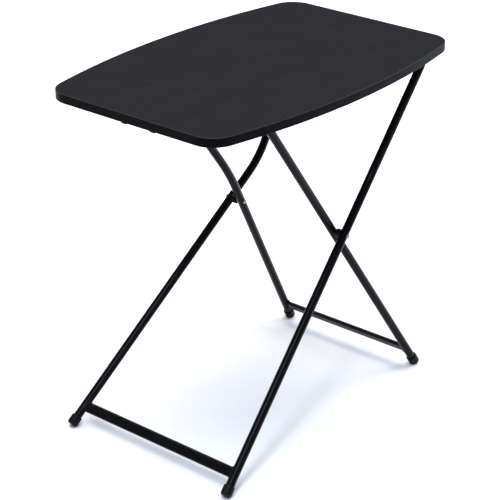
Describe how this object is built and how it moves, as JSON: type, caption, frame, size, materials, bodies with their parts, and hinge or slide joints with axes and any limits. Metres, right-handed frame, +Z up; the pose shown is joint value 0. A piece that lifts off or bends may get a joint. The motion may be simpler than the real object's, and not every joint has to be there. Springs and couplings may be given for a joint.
{
  "type": "folding tray table",
  "caption": "Small folding table: bowed plastic top over crossed tubular steel frames that are riveted together, with notched racks for the top's height.",
  "frame": {"origin": "on the floor, under the middle of the top", "axes": "+Z up; X along the top's long side, +X towards the hinged end; Y across it, the row's symmetry plane being XZ"},
  "size_m": [0.66, 0.447, 0.6675],
  "materials": {
    "top_plastic": "blow-moulded polyethylene, fine matte grain",
    "fitting_plastic": "injection-moulded nylon, satin",
    "washer_plastic": "injection-moulded polypropylene, waxy",
    "cap_rubber": "moulded rubber, dull",
    "frame_paint": "black powder coat on steel tube, semi-gloss",
    "rivet_steel": "zinc plated, bright",
    "screw_steel": "zinc plated, satin"
  },
  "bodies": {
    "outer_frame": {"outer_leg_left": "frame_paint", "outer_leg_right": "frame_paint", "outer_foot_cap_left": "cap_rubber", "outer_foot_cap_right": "cap_rubber", "outer_crossbar": "frame_paint", "outer_top_bar": "frame_paint", "pivot_rivet_left": "rivet_steel", "pivot_rivet_right": "rivet_steel", "saddle_washer_left": "washer_plastic", "saddle_washer_right": "washer_plastic"},
    "inner_frame": {"inner_leg_left": "frame_paint", "inner_leg_right": "frame_paint", "inner_foot_cap_left": "cap_rubber", "inner_foot_cap_right": "cap_rubber", "inner_crossbar": "frame_paint", "inner_top_bar": "frame_paint"},
    "tabletop": {"tabletop_panel": "top_plastic", "height_rack_left": "fitting_plastic", "height_rack_right": "fitting_plastic", "hinge_block_left": "fitting_plastic", "hinge_block_right": "fitting_plastic", "rack_screws": "screw_steel", "hinge_block_screws": "screw_steel"}
  },
  "joints": [
    {"name": "tabletop_hinge", "type": "hinge", "parent": "outer_frame", "child": "tabletop", "pos_m": [0.292, 0, 0.6395], "axis": [0, 1, 0], "range_deg": [0, 120]},
    {"name": "frame_pivot", "type": "hinge", "parent": "outer_frame", "child": "inner_frame", "pos_m": [0.084, 0, 0.3455], "axis": [0, 1, 0], "range_deg": [0, 66.5]}
  ],
  "couplings": [
    {"joint": "frame_pivot", "follows": "tabletop_hinge", "ratio": 0.55}
  ]
}
